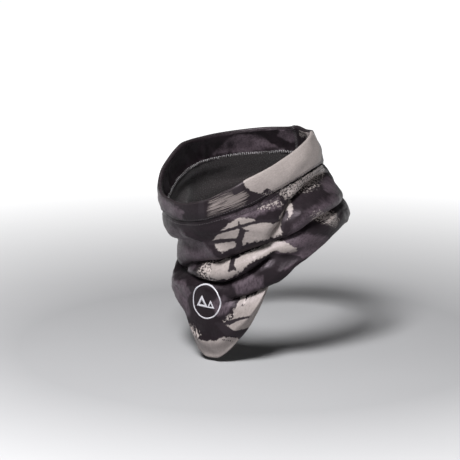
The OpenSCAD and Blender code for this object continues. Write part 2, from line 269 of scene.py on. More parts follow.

# Patches of the camouflage print, each an outline of (angle, height) with its corners in order. A few of
# them are not print: they lay painted shade, highlight and sheen along folds.
LIGHT_PATCHES = {
    # print, whose lower edge stops short of the first crease so that the dark ground there is painted shade
    # under the roll
    "dome": [(6, 4), (14, 16), (20, 25), (25, 30), (31, 30.5), (38, 27), (43, 28), (46, 22), (49, 20),
        (48, 17.5), (41, 14.5), (30, 10.5), (18, 3.5), (11, -2)],
    "roll": [(3, -28), (6, -24), (3, -21), (9, -18.5), (11, -15.5), (19, -12), (26, -7), (36, 0), (41, 3),
        (49, 4), (55, -1), (59, -7), (54, -9), (49, -8), (44, -4), (36, -6), (28, -12), (22, -20),
        (14, -28), (8, -29.5)],
    "tip": [(-30, -97), (-14, -98), (-7, -103), (1, -103), (6, -102), (11, -97), (18, -96), (22, -99),
        (40, -112), (20, -135), (-20, -135)],
    "bib_side": [(14, -84), (17, -79), (23, -66), (29, -55), (37, -46), (48, -34), (56, -40), (42, -62),
        (33, -84), (24, -96), (19, -91)],
    "small_dab": [(18.5, -70), (22, -60), (25, -52), (27, -54), (24, -62), (21, -71)],
    "pinch_end": [(38, 18), (43, 14), (49, 18), (52, 25), (56, 36), (54, 39), (49, 32), (44, 25)],
    # painted highlight: a light patch along the lip of the pinch crease
    "stroke": [(55, 28), (58, 31), (63, 40), (66, 46), (62, 44), (57, 36)],
}
DARK_PATCHES = {
    "upper_stripe": [(8, 10), (24, 19.6), (37, 25.8), (50, 29), (50, 31), (36, 28.2), (23, 21.8),
        (8, 12.5)],
    "lower_stripe": [(4, 1), (22, 9), (23, 11.4), (12, 8), (4, 4)],
    "tear": [(24.5, 27), (25.6, 26.6), (25.9, 22), (27, 19.4), (30.5, 18.4), (27.4, 16.4), (26.4, 13.5),
        (24.5, 10), (23.4, 6), (20.8, 2), (19, -4), (17, -4), (18.6, 2), (20.4, 6.6), (17.6, 9),
        (21.4, 9.2), (23.2, 14), (24.8, 18.5), (24.2, 22)],
    "roll_blot": [(15, -7.6), (16.4, -8.2), (17.8, -11.2), (23.4, -10), (19, -13.6), (18.6, -17),
        (21, -21.4), (17.8, -20.6), (14.6, -23), (16, -18), (16.2, -13.4)],
    # painted shade: a dark patch that darkens the hollow of the dent fold, where shade falls
    "dent": [(41, -8), (52, -10), (60, -13), (62, -17), (54, -20), (48, -23), (44, -18)],
    # painted shade: a dark patch along the pinch crease, where shade falls
    "pinch_slot": [(49, 20), (50.4, 19), (53, 26), (57, 32), (59, 38), (55.5, 33), (51.5, 27)],
    "branch": [(10, -84), (16, -79), (22, -75), (30, -72), (30, -74.5), (22, -78), (17, -83)],
    "bib_stripe": [(6, -82), (12, -82), (20, -89), (30, -86), (30, -93), (22, -97), (14, -94)],
    "tip_stripe": [(9, -99), (14, -98.6), (21, -102), (21, -103.2), (14, -100.4)],
}
MAUVE_PATCHES = {
    "chest": [(-60, -52), (-36, -50), (-20, -46), (-12, -56), (-16, -66), (-14, -80), (-20, -84),
        (-34, -72)],
    "facet": [(-57, -22), (-42, 4), (-26, 13), (-13, 12), (-4, 5.5), (3, -0.5), (9, -6), (14, -12),
        (2, -14), (-14, -16), (-36, -24)],
    "shoulder": [(44, -4), (52, 8), (64, 11), (80, 4), (84, -6), (72, -12), (60, -16), (50, -24),
        (46, -18)],
    "under_badge": [(4, -62), (12, -52), (19, -58), (16, -70), (8, -76)],
    "beside_badge": [(18, -40), (26, -30), (36, -30), (36, -38), (26, -46), (20, -48)],
    "brow": [(16, 30), (28, 38), (44, 46), (54, 50), (52, 40), (38, 33), (24, 27)],
    # the print's mauve laid along the upper roll's ridge, where it is also a painted sheen on that ridge
    "upper_roll": [(50, 12), (58, 26), (68, 36), (82, 43), (98, 46), (110, 42), (98, 34), (80, 28),
        (64, 18)],
    "roll_end": [(-52, -35), (-40, -30), (-24, -23), (-12, -22), (-16, -28), (-30, -33), (-42, -38)],
    "below_seam": [(94, 48), (102, 56), (118, 58), (120, 50), (106, 44)],
}
SPECKLED_PATCHES = {
    "under_seam": [(54, 54), (66, 64), (84, 72), (101, 77), (124, 73), (118, 60), (104, 57), (92, 54),
        (77, 51), (60, 47)],
    "brow": [(38, 40), (45, 44.5), (53, 47), (54, 43.5), (46, 40), (40, 37.5)],
    "scribble": [(68, 30), (74, 36), (84, 34), (92, 30), (94, 18), (88, 12), (78, 20)],
    "chest_dust": [(-20, -92), (-10, -90), (-4, -98), (-8, -106), (-18, -100)],
    "dab_dust": [(12, -82), (20, -68), (25, -50), (30, -50), (26, -70), (20, -88)],
    "roll_dust": [(-7, -27), (-3, -21), (8, -17), (10, -24), (6, -31), (-2, -30)],
}
BAND_LIGHT_PATCHES = {
    "sweep": [(31, 66), (36, 76), (60, 92), (85, 102), (104, 110), (124, 112), (126, 96), (117, 84),
        (106, 76), (84, 70), (67, 63), (59, 58), (52, 55), (46, 60), (42, 54), (37, 57), (33, 62)],
    "back_sweep": [(-178, 64), (-170, 82), (-152, 84), (-134, 76), (-118, 66), (-102, 54), (-122, 54),
        (-150, 58)],
}
BAND_DARK_PATCHES = {
    "strip": [(2, 20), (4, 54), (7, 54), (6.5, 20)],
    "blot": [(24, 57), (29, 66), (33, 66), (30, 58), (26, 54)],
}
BAND_MAUVE_PATCHES = {
    "left": [(-60, 26), (-50, 42), (-26, 38), (-8, 34), (-10, 24), (-32, 26)],
    "behind": [(130, 74), (144, 92), (164, 92), (168, 78), (146, 72)],
}
BAND_SPECKLED_PATCHES = {
    "lower_edge": [(44, 53), (60, 60), (90, 70), (92, 64), (70, 56), (52, 49)],
    "corner": [(100, 84), (108, 104), (124, 104), (122, 84)],
}
BRUSHED_PATCHES = {
    "brush": [(8, 30), (10, 47), (22, 57), (30, 60), (34, 54), (30, 44), (20, 38)],
}
# Where a patch is printed again, as shifts of (angle, height) from its first place.
REPEATS = {
    "dome": [(-163, 24)], "upper_stripe": [(-163, 24)], "lower_stripe": [(-163, 24)],
    "tear": [(-163, 24)], "roll": [(148, 36), (-94, 6)], "roll_blot": [(148, 36)],
    "bib_side": [(-118, 62)], "branch": [(-118, 62)], "chest": [(-70, 34), (178, 84)],
    "facet": [(216, 44)], "shoulder": [(-178, 18)], "scribble": [(-168, 14)], "under_seam": [(-220, -4)],
    "dab_dust": [(-108, 68)], "brush": [(-142, 18)], "left": [(-80, 30)],
}
FACING_MAUVE_PATCHES = {
    "left": [(-170, 74), (-158, 90), (-138, 86), (-124, 66), (-150, 68)],
    "right": [(124, 84), (132, 98), (152, 96), (160, 86), (142, 80)],
    "nape": [(172, 84), (176, 98), (186, 96), (188, 88), (180, 80)],
    "front": [(10, 38), (24, 54), (44, 64), (40, 50)],
}
FACING_SPECKLED_PATCHES = {
    "corner": [(134, 88), (140, 106), (164, 104), (168, 92), (150, 84)],
}


# ---------------- curves and round lines
def wrap(angles, middle=0):
    """The same angles, each within half a turn of a middle one."""
    return (angles - middle + 180) % 360 - 180 + middle


def slopes(x, y):
    """Slopes at x of a smooth curve through y that doesn't overshoot. y has a column for each curve."""
    h = np.diff(x)[:, None]
    d = np.diff(y, axis=0) / h
    m = np.zeros_like(y)
    same = d[:-1] * d[1:] > 0
    w1 = 2 * h[1:] + h[:-1]
    w2 = h[1:] + 2 * h[:-1]
    before = np.where(same, d[:-1], 1)
    after = np.where(same, d[1:], 1)
    m[1:-1] = np.where(same, (w1 + w2) / (w1 / before + w2 / after), 0)
    m[0] = d[0]
    m[-1] = d[-1]
    return m


def smooth_curve(x, y, at):
    """Values at `at` of a smooth curve through the points (x, y), with a column for each column of y."""
    x = np.asarray(x, float)
    y = np.asarray(y, float)
    m = slopes(x, y)
    i = np.clip(np.searchsorted(x, at) - 1, 0, len(x) - 2)
    h = (x[i + 1] - x[i])[:, None]
    t = ((at - x[i]) / (x[i + 1] - x[i]))[:, None]
    return ((2 * t**3 - 3 * t**2 + 1) * y[i] + (t**3 - 2 * t**2 + t) * h * m[i]
            + (3 * t**2 - 2 * t**3) * y[i + 1] + (t**3 - t**2) * h * m[i + 1])


def round_line(keys, angles):
    """(radius, height) at each angle of a line round the gaiter."""
    keys = np.array(sorted(keys), float)
    turn = np.array([360, 0, 0])
    keys = np.concatenate([keys[-4:] - turn, keys, keys[:4] + turn])
    return smooth_curve(keys[:, 0], keys[:, 1:], wrap(angles))


def spread_levels(levels, shares):
    """Grids [row, column] of radius and height between round lines, at shares of the way up."""
    lines = np.stack([round_line(keys, ANGLES) for _, keys in levels])
    out = smooth_curve([level for level, _ in levels], lines.reshape(len(levels), -1), shares)
    out = out.reshape(len(shares), len(ANGLES), 2)
    return out[..., 0], out[..., 1]


def smooth_step(low, high, value):
    t = np.clip((value - low) / (high - low), 0, 1)
    return t * t * (3 - 2 * t)


def noise(angles, heights, cells, cell_height, seed):
    """Smooth random values from -1 to 1, with a whole number of cells round the neck."""
    grid = np.random.default_rng(seed).uniform(-1, 1, (NOISE_ROWS, cells))
    x = angles / 360 * cells
    y = heights / cell_height
    column = np.floor(x).astype(int)
    row = np.floor(y).astype(int)
    fx = smooth_step(0, 1, x - column)
    fy = smooth_step(0, 1, y - row)

    def corner(right, up):
        return grid[(row + up) % NOISE_ROWS, (column + right) % cells]

    low = corner(0, 0) * (1 - fx) + corner(1, 0) * fx
    high = corner(0, 1) * (1 - fx) + corner(1, 1) * fx
    return low * (1 - fy) + high * fy


def axis_y(heights):
    """Where the leaning neck axis is at some heights. The wearer's front is the negative side."""
    return -LEAN * np.clip(heights / LEAN_HEIGHT, 0, LEAN_LIMIT)


def in_space(angles, radii, heights):
    """Points in millimetres from round coordinates."""
    a = np.radians(angles)
    return np.stack([radii * np.sin(a), axis_y(heights) - radii * np.cos(a), heights], -1)


# ---------------- folds
def dense_route(route):
    """A fold's route as many points of (across, height, strength), with across in millimetres."""
    route = np.array(route, float)
    steps = np.arange(len(route))
    fine = smooth_curve(steps, route, np.linspace(0, len(route) - 1, ROUTE_STEPS * len(route)))
    fine[:, 0] *= ARC
    return fine


def to_route(route, angles, heights):
    """Signed distance (above is positive), strength and unit normal of the nearest point of a route."""
    points = dense_route(route)
    middle = (points[0, 0] + points[-1, 0]) / 2 / ARC
    across = wrap(angles, middle) * ARC
    best = np.full(across.shape, FAR)
    signed = np.zeros(across.shape)
    strength = np.zeros(across.shape)
    normal = np.zeros(across.shape + (2,))
    for start, end in zip(points[:-1], points[1:]):
        step = (end - start)[:2]
        px = across - start[0]
        py = heights - start[1]
        t = np.clip((px * step[0] + py * step[1]) / (step @ step), 0, 1)
        far = np.hypot(px - t * step[0], py - t * step[1])
        near = far < best
        best = np.where(near, far, best)
        signed = np.where(near, np.sign(step[0] * py - step[1] * px) * far, signed)
        strength = np.where(near, start[2] + t * (end[2] - start[2]), strength)
        normal[near] = np.array([-step[1], step[0]]) / np.linalg.norm(step)
    return signed, strength, normal


def fold(angles, heights):
    """(outward, across, upward) shifts that all the folds give points at these angles and heights."""
    outward = np.zeros(angles.shape)
    across = np.zeros(angles.shape)
    upward = np.zeros(angles.shape)
    for depth, above, below, sag, soft, route in FOLDS.values():
        d, strength, normal = to_route(route, angles, heights)
        wide = np.where(d > 0, above, below)
        outward -= depth * strength * np.exp(-(np.abs(d) / wide) ** soft)
        reach = np.maximum(d, 0) / above
        push = sag * strength * reach * np.exp(1 - reach)
        across -= push * normal[..., 0]
        upward -= push * normal[..., 1]
    return outward, across, upward


# ---------------- grids of points
def soften(grid, times):
    """Evens out a closed grid of points along both ways, leaving its first and last rows."""
    for _ in range(times):
        grid = grid * 0.5 + (np.roll(grid, 1, 1) + np.roll(grid, -1, 1)) * 0.25
        inner = grid[1:-1] * 0.5 + (grid[:-2] + grid[2:]) * 0.25
        grid = np.concatenate([grid[:1], inner, grid[-1:]])
    return grid


def unit(vectors):
    return vectors / np.maximum(np.linalg.norm(vectors, axis=-1, keepdims=True), 1e-9)


def normals(grid, closed=True):
    """Outward unit normals of a grid, where rows go up and columns go round."""
    if closed:
        along = np.roll(grid, -1, 1) - np.roll(grid, 1, 1)
    else:
        along = np.gradient(grid, axis=1)
    return unit(np.cross(along, np.gradient(grid, axis=0)))


def sample(grid, rows, columns):
    """Points of a closed grid at rows and columns that may lie between its own."""
    rows = np.clip(rows, 0, grid.shape[0] - 1.001)
    i = np.floor(rows).astype(int)
    j = np.floor(columns).astype(int)
    fi = (rows - i)[..., None]
    fj = (columns - j)[..., None]
    count = grid.shape[1]
    low = grid[i, j % count] * (1 - fj) + grid[i, (j + 1) % count] * fj
    high = grid[i + 1, j % count] * (1 - fj) + grid[i + 1, (j + 1) % count] * fj
    return low * (1 - fi) + high * fi


def column_at(angle):
    return (angle - ANGLES[0]) * COLUMNS / 360


def row_at(heights, column, height):
    """The row of a grid of rising heights where a column reaches a height."""
    return np.interp(height, heights[:, int(round(column)) % COLUMNS], np.arange(len(heights)))


# ---------------- the cloth's surfaces
def seam_ditch(angles, depth):
    """Inward shift of the cloth along the back seam."""
    off = np.abs(wrap(angles - SEAM_ANGLE)) * ARC
    return depth * np.exp(-(off / DITCH_W) ** 2)


def shell_surface():
    """The shell's outer face from the hem up to the band seam, and its heights before folding."""
    shares = np.linspace(0, 1, SHELL_ROWS)
    radii, heights = spread_levels(SHELL_LEVELS, shares)
    angles = np.tile(ANGLES, (SHELL_ROWS, 1))
    outward, across, upward = fold(angles, heights)
    for size, slant, waves, wave_height, seed in WRINKLES:
        outward += size * noise(angles + heights * slant, heights, waves, wave_height, seed)
    outward -= seam_ditch(angles, SHELL_DITCH) + HEM_CURL * smooth_step(HEM_CURL_TO, 0, shares)[:, None]
    grid = in_space(angles + across / ARC, radii + outward, heights + upward)
    grid = soften(grid, 2)
    tuck = SEAM_TUCK * smooth_step(SHELL_TUCK_FROM, 1, shares)[:, None, None]
    return grid - normals(grid) * tuck, heights


def band_surface():
    """The band's outside face from its seam up to the rim, and its heights."""
    shares = np.linspace(0, 1, BAND_ROWS)
    radii, heights = spread_levels([(0, BAND_LINE), (1, RIM)], shares)
    angles = np.tile(ANGLES, (BAND_ROWS, 1))
    share = shares[:, None]
    arch = np.sin(math.pi * share)
    outward = BAND_PUFF * arch - SEAM_TUCK * smooth_step(BAND_TUCK_TO, 0, share)
    outward = outward + BAND_WRINKLE * noise(angles - heights / 4, heights, 34, 12, 3) * arch
    outward -= seam_ditch(angles, BAND_DITCH)
    return soften(in_space(angles, radii + outward, heights), 1), heights


def bend(edge, out, beyond, turns, shares):
    """Rows of points that carry the edge of a cloth round a fold, one for each turn in degrees."""
    half_gap, reach = np.array(shares) * FOLD_T
    rows = []
    for turn in np.radians(turns):
        rows.append(edge - out * half_gap * (1 - math.cos(turn)) + beyond * reach * math.sin(turn))
    return np.stack(rows)


def turned_hem(face):
    """The shell's face with its bottom edge turned inwards and up. The first row is inside the hem."""
    out = normals(face)
    down = -unit(face[1] - face[0])
    inside = np.stack([face[row] - out[row] * FOLD_T for row in HEM_ROWS])
    return np.concatenate([inside, bend(face[0], out[0], down, range(180, 0, -30), HEM_BEND), face])


def folded_band(face):
    """The band's face carried over the rim and down inside to the seam."""
    out = normals(face)
    up = unit(face[-1] - face[-2])
    share = np.linspace(1, 0, BAND_ROWS)[:, None]
    angles = np.tile(ANGLES, (BAND_ROWS, 1))
    pucker = PUCKER * noise(angles, share * 4, 80, 5, 5) * np.sin(math.pi * share) ** 0.5
    step = FOLD_T + FACING_GAP + OVER_LINING * smooth_step(OVER_LINING_TO, 0, share)
    inside = face[::-1] - out[::-1] * (step - pucker)[..., None]
    return np.concatenate([face, bend(face[-1], out[-1], up, range(25, 180, 25), RIM_BEND), inside])


def lining_surface(shell_face):
    """The lining's outer side, which stays inside the folded shell at every height."""
    z = shell_face[..., 2]
    reach = np.hypot(shell_face[..., 0], shell_face[..., 1] - axis_y(z))
    low = z[0] + HEM_TURN + HEM_GAP
    high = z[-1] + LINING_TUCK
    heights = low + (high - low) * np.linspace(0, 1, LINING_ROWS)[:, None]
    radii = np.stack([np.where(np.abs(z - row) < LINING_REACH, reach, FAR).min(0) for row in heights])
    angles = np.tile(ANGLES, (LINING_ROWS, 1))
    creases = LINING_CREASE * (1 + noise(angles, heights, 20, 16, 7))
    radii = soften(radii, 12) - SHELL_T - LINING_GAP - creases
    return soften(in_space(angles, radii, heights), 3)


# ---------------- meshes
def add_object(name, data):
    obj = bpy.data.objects.new(name, data)
    bpy.context.scene.collection.objects.link(obj)
    return obj


def add_mesh(name, points, faces, uvs=None):
    """A smooth mesh object from points in millimetres, with a place on the flat cloth for each corner."""
    mesh = bpy.data.meshes.new(name)
    mesh.from_pydata((np.asarray(points).reshape(-1, 3) * MM).tolist(), [], [tuple(f) for f in faces])
    mesh.polygons.foreach_set("use_smooth", [True] * len(mesh.polygons))
    if uvs is not None:
        layer = mesh.uv_layers.new(name="cloth")
        layer.data.foreach_set("uv", (np.asarray(uvs) * MM).ravel())
    return add_object(name, mesh)


def grid_faces(rows, columns, closed):
    """Four-cornered faces of a grid, as (row, column) pairs. A closed grid's last column meets its first."""
    i, j = np.meshgrid(np.arange(rows - 1), np.arange(columns - (0 if closed else 1)), indexing="ij")
    i = i.ravel()
    j = j.ravel()
    return np.stack([np.stack([i, j], 1), np.stack([i, j + 1], 1), np.stack([i + 1, j + 1], 1),
                     np.stack([i + 1, j], 1)], 1)


def cloth(name, face, thick, closed=True, column=COLUMN_W):
    """A piece of cloth from a grid of points on its outer face. `column` is a column's width laid flat."""
    rows, columns = face.shape[:2]
    out = normals(face, closed)
    points = np.concatenate([face.reshape(-1, 3), (face - out * thick).reshape(-1, 3)])
    half = rows * columns
    cells = grid_faces(rows, columns, closed)
    front = cells[..., 0] * columns + cells[..., 1] % columns
    faces = [front, (front + half)[:, ::-1]]
    lengths = np.linalg.norm(np.diff(face, axis=0), axis=2).mean(1)
    v = np.concatenate([[0], np.cumsum(lengths)])
    place = np.stack([cells[..., 1] * column, v[cells[..., 0]]], -1)
    uvs = [place, place[:, ::-1]]
    around = np.arange(columns - (0 if closed else 1))
    after = (around + 1) % columns
    top = (rows - 1) * columns
    edges = [(np.stack([half + around, half + after, after, around], 1), 0),
             (np.stack([top + around, top + after, half + top + after, half + top + around], 1), rows - 1)]
    if not closed:
        side = np.arange(rows - 1) * columns
        last = side + columns - 1
        edges += [(np.stack([side, side + columns, half + side + columns, half + side], 1), 0),
                  (np.stack([last + columns, last, half + last, half + last + columns], 1), 0)]
    for edge, row in edges:
        faces.append(edge)
        corners = np.zeros(edge.shape + (2,))
        corners[..., 0] = (edge % columns) * column
        corners[..., 1] = v[row]
        uvs.append(corners)
    return add_mesh(name, points, np.concatenate(faces).tolist(), np.concatenate(uvs).reshape(-1, 2))


def add_field(obj, name, front):
    """A number for every point of a cloth, the same on both of its sides."""
    values = np.concatenate([front.ravel(), front.ravel()]).astype(np.float32)
    obj.data.attributes.new(name, "FLOAT", "POINT").data.foreach_set("value", values)


# ---------------- print
def inside_distance(outline, angles, heights):
    """Millimetres from the edge of an outline, above zero inside it."""
    corners = np.array(outline, float)
    middle = corners[:, 0].mean()
    x = wrap(angles, middle) * ARC
    corners[:, 0] *= ARC
    best = np.full(x.shape, FAR)
    inside = np.zeros(x.shape, bool)
    for a, b in zip(corners, np.roll(corners, -1, 0)):
        step = b - a
        t = np.clip(((x - a[0]) * step[0] + (heights - a[1]) * step[1]) / (step @ step), 0, 1)
        best = np.minimum(best, np.hypot(x - a[0] - t * step[0], heights - a[1] - t * step[1]))
        crosses = (a[1] > heights) != (b[1] > heights)
        rise = step[1] if step[1] else 1e-9
        inside ^= crosses & (x < a[0] + (heights - a[1]) / rise * step[0])
    return np.where(inside, best, -best)


def patch_field(patches, angles, heights):
    """Distance inside the nearest of several patches, limited to EDGE_REACH."""
    field = np.full(angles.shape, -FAR)
    for name, outline in patches.items():
        for angle, height in [(0, 0)] + REPEATS.get(name, []):
            field = np.maximum(field, inside_distance(outline, angles - angle, heights - height))
    return np.clip(field, -EDGE_REACH, EDGE_REACH)


# ---------------- stitches and trims
def stitches(points, out, kind, shift=0, closed=True, radius=THREAD_R):
    """Points and faces for a line of separate stitches, each a tube whose thin ends dip into the cloth."""
    pitch, length, slant = kind
    if closed:
        points = np.concatenate([points, points[:1]])
        out = np.concatenate([out, out[:1]])
    run = np.concatenate([[0], np.cumsum(np.linalg.norm(np.diff(points, axis=0), axis=1))])
    count = int(run[-1] / pitch)
    at = (np.arange(count) + 0.5) * run[-1] / count

    def on_line(values, ahead=0):
        return np.stack([np.interp(at + ahead, run, values[:, k]) for k in range(3)], -1)

    raised = unit(on_line(out))
    along = unit(on_line(points, 0.5) - on_line(points, -0.5))
    side = np.cross(raised, along)
    place = on_line(points) + side * shift
    lean = np.radians(slant) * np.where(np.arange(count) % 2, 1, -1)[:, None]
    direction = along * np.cos(lean) + side * np.sin(lean)
    across = np.cross(raised, direction)
    t = np.linspace(-1, 1, STATIONS)[None, :, None, None]
    turn = (np.arange(RING) * 2 * math.pi / RING)[None, None, :, None]
    thick = radius * np.sqrt(1.05 - t**2)
    lift = radius * (0.5 - 1.6 * t**4)
    vertices = (place[:, None, None] + direction[:, None, None] * t * length / 2
                + raised[:, None, None] * (lift + thick * np.cos(turn))
                + across[:, None, None] * thick * np.sin(turn))
    ring = np.arange(RING)
    after = (ring + 1) % RING
    per = STATIONS * RING
    tube = np.concatenate([np.stack([low + ring, low + after, low + RING + after, low + RING + ring], 1)
                           for low in range(0, per - RING, RING)])
    starts = np.arange(count) * per
    faces = (tube[None] + starts[:, None, None]).reshape(-1, 4).tolist()
    for start in starts.tolist():
        faces.append([start + i for i in reversed(range(RING))])
        faces.append([start + per - RING + i for i in range(RING)])
    return vertices.reshape(-1, 3), faces


def sew(name, lines):
    """One mesh object from several lines of stitches."""
    points = []
    faces = []
    for vertices, line_faces in lines:
        start = sum(len(p) for p in points)
        points.append(vertices)
        faces += [[start + i for i in f] for f in line_faces]
    return add_mesh(name, np.concatenate(points), faces)


def film(name, outlines, face, heights):
    """A transfer film on the cloth. Each outline is a pair of flat loops of (x, y) with as many points."""
    out = normals(face)
    points = []
    faces = []
    for inside, outside in outlines:
        inside = np.asarray(inside, float)
        outside = np.asarray(outside, float)
        count = len(inside)
        start = sum(len(p) for p in points)
        crown = (inside + outside) / 2
        rings = [(inside, 0), (inside, 1), (crown, FILM_CROWN), (outside, 1), (outside, 0)]
        for loop, raised in rings:
            columns = np.array([column_at(BADGE_AT[0] + x / ARC) for x, _ in loop])
            rows = np.array([row_at(heights, c, BADGE_AT[1] + y) for c, (_, y) in zip(columns, loop)])
            lift = FILM_GAP + FILM_T * raised
            points.append(sample(face, rows, columns) + sample(out, rows, columns) * lift)
        for ring in range(len(rings)):
            low = start + ring * count
            high = start + (ring + 1) % len(rings) * count
            for k in range(count):
                m = (k + 1) % count
                faces.append((low + k, low + m, high + m, high + k))
    return add_mesh(name, np.concatenate(points), faces)


def circle(diameter, count=96):
    t = np.arange(count) * 2 * math.pi / count
    return np.stack([np.cos(t), np.sin(t)], -1) * diameter / 2


def peak(x, height, half_width, per_side=8):
    """One peak's outline, with several points on each side so that it can follow the cloth."""
    corners = np.array([(x + half_width, PEAK_BASE), (x, PEAK_BASE + height), (x - half_width, PEAK_BASE)])
    share = np.arange(per_side)[:, None] / per_side
    return np.concatenate([a + (b - a) * share for a, b in zip(corners, np.roll(corners, -1, 0))])


# ---------------- materials
class Graph:
    """A node material under construction, with short ways to add and join its nodes."""

    def __init__(self, name, **sockets):
        self.material = bpy.data.materials.new(name)
        self.material.use_nodes = True
        self.tree = self.material.node_tree
        self.surface = self.tree.nodes["Principled BSDF"]
        for socket, value in sockets.items():
            self.surface.inputs[socket.replace("_", " ")].default_value = value

    def join(self, value, socket):
        if isinstance(value, bpy.types.NodeSocket):
            self.tree.links.new(value, socket)
        else:
            socket.default_value = value

    def add(self, kind, **settings):
        node = self.tree.nodes.new(kind)
        for key, value in settings.items():
            setattr(node, key, value)
        return node

    def millimetres(self, place, wide, tall):
        scale = self.add("ShaderNodeMapping")
        scale.inputs["Scale"].default_value = (wide / MM, tall / MM, 1 / MM)
        self.join(place, scale.inputs["Vector"])
        return scale.outputs["Vector"]

    def flat(self, wide=1, tall=1):
        """Millimetres along and up the flat cloth, each multiplied."""
        return self.millimetres(self.add("ShaderNodeUVMap", uv_map="cloth").outputs["UV"], wide, tall)

    def solid(self):
        """Millimetres in space, for a pattern that has no direction."""
        return self.millimetres(self.add("ShaderNodeTexCoord").outputs["Object"], 1, 1)

    def noise(self, vector, scale, detail=2, rough=0.5):
        """Values round a half, with about `scale` blobs to a millimetre."""
        node = self.add("ShaderNodeTexNoise")
        self.join(vector, node.inputs["Vector"])
        node.inputs["Scale"].default_value = scale
        node.inputs["Detail"].default_value = detail
        node.inputs["Roughness"].default_value = rough
        return node.outputs["Fac"]

    def uneven(self, vector, scale, detail, rough, size):
        """Noise on both sides of zero, to tear the edges of patches."""
        return self.times(self.maths("SUBTRACT", self.noise(vector, scale, detail, rough), 0.5), size)

    def bands(self, vector, pitch, direction, distortion=0.6):
        """Waves in one direction, one for each pitch in millimetres."""
        node = self.add("ShaderNodeTexWave", bands_direction=direction)
        self.join(vector, node.inputs["Vector"])
        node.inputs["Scale"].default_value = math.pi / 10 / pitch
        node.inputs["Distortion"].default_value = distortion
        return node.outputs["Fac"]

    def field(self, name):
        return self.add("ShaderNodeAttribute", attribute_name=name).outputs["Fac"]

    def maths(self, operation, a, b):
        node = self.add("ShaderNodeMath", operation=operation)
        self.join(a, node.inputs[0])
        self.join(b, node.inputs[1])
        return node.outputs[0]

    def times(self, a, b):
        return self.maths("MULTIPLY", a, b)

    def plus(self, a, b):
        return self.maths("ADD", a, b)

    def between(self, value, low, high, to_low=0.0, to_high=1.0):
        node = self.add("ShaderNodeMapRange")
        self.join(value, node.inputs["Value"])
        limits = {"From Min": low, "From Max": high, "To Min": to_low, "To Max": to_high}
        for socket, number in limits.items():
            node.inputs[socket].default_value = number
        return node.outputs["Result"]

    def mix(self, share, a, b):
        node = self.add("ShaderNodeMix", data_type="RGBA")
        self.join(share, node.inputs["Factor"])
        for value, socket in ((a, node.inputs[6]), (b, node.inputs[7])):
            self.join((*value, 1) if isinstance(value, tuple) else value, socket)
        return node.outputs[2]

    def bump(self, height, distance, before=None):
        node = self.add("ShaderNodeBump")
        node.inputs["Distance"].default_value = distance * MM
        self.join(height, node.inputs["Height"])
        if before is not None:
            self.join(before, node.inputs["Normal"])
        return node.outputs["Normal"]

    def finish(self, colour, rough, normal):
        self.join(colour, self.surface.inputs["Base Color"])
        self.join(rough, self.surface.inputs["Roughness"])
        self.join(normal, self.surface.inputs["Normal"])
        return self.material


def printed_cloth():
    """Smooth stretch knit with a satin face and a camouflage print of torn patches and brush marks. Its
    light, dark and mauve layers also lay a few patches of painted highlight, shade and sheen along folds.
    """
    g = Graph("printed_stretch_cloth", Sheen_Weight=0.03, Sheen_Roughness=0.35, Specular_IOR_Level=0.24,
              Specular_Tint=SATIN_TINT)
    flat = g.flat()
    torn = g.uneven(flat, 0.32, 7, 0.62, 7.0)
    soft_torn = g.uneven(flat, 0.14, 4, 0.5, 9.0)
    streaks = g.noise(g.flat(0.55, 1.0), 0.6, 5, 0.62)
    bristles = g.noise(g.flat(0.045, 1.2), 0.9, 4, 0.65)
    clouds = g.noise(flat, 0.05, 3)

    def patch(name, ragged, edge):
        """1 inside a layer's patches and 0 outside, with an edge as soft as `edge`, in millimetres."""
        return g.between(g.plus(g.field(name), ragged), -edge, edge)

    def dabs(name, pattern, low, high, edge):
        """1 where a pattern is high inside a layer's patches, and more of it towards their middles."""
        dense = g.plus(pattern, g.times(g.field(name), DENSER))
        return g.times(g.between(dense, low, high), g.between(g.field(name), -edge, 0))

    colour = g.mix(clouds, *GROUND)
    # mauve print, which also lays the painted sheen along the upper roll's ridge
    colour = g.mix(patch("mauve", soft_torn, 1.6), colour, g.mix(g.noise(flat, 0.11, 4), *MAUVE))
    colour = g.mix(g.between(g.noise(flat, 0.5, 5, 0.65), 0.45, 0.62, 0, 0.55), colour, MOTTLE)
    dust = g.times(dabs("speckled", streaks, 0.505, 0.545, 3), g.between(g.noise(flat, 0.5, 4), 0.40, 0.48))
    colour = g.mix(dust, colour, DUST)
    colour = g.mix(dabs("brushed", bristles, 0.52, 0.60, 2), colour, STROKES)
    fleck = g.between(g.noise(flat, 1.3, 3), 0.60, 0.66, 0, 0.55)
    # light print, which also lays the painted highlight by the pinch crease
    colour = g.mix(patch("light", torn, 0.35), colour, g.mix(fleck, g.mix(streaks, *LIGHT), FLECK))
    # dark print, which also lays the painted shade in the dent and along the pinch crease
    colour = g.mix(patch("dark", g.times(torn, 0.4), 0.3), colour, g.mix(clouds, *INK_AND_PAINTED_SHADE))
    worn = g.times(g.field("edge"), g.between(g.noise(flat, 0.6, 3), 0.35, 0.7, 0, 0.12))
    colour = g.mix(worn, colour, WORN)
    ribs = g.times(g.bands(flat, 0.8, "X"), g.bands(flat, 1.1, "Y"))
    normal = g.bump(ribs, 0.05, g.bump(g.noise(flat, 0.25, 4), 0.4))
    return g.finish(colour, g.between(g.noise(flat, 0.2, 3), 0.3, 0.7, 0.35, 0.49), normal)


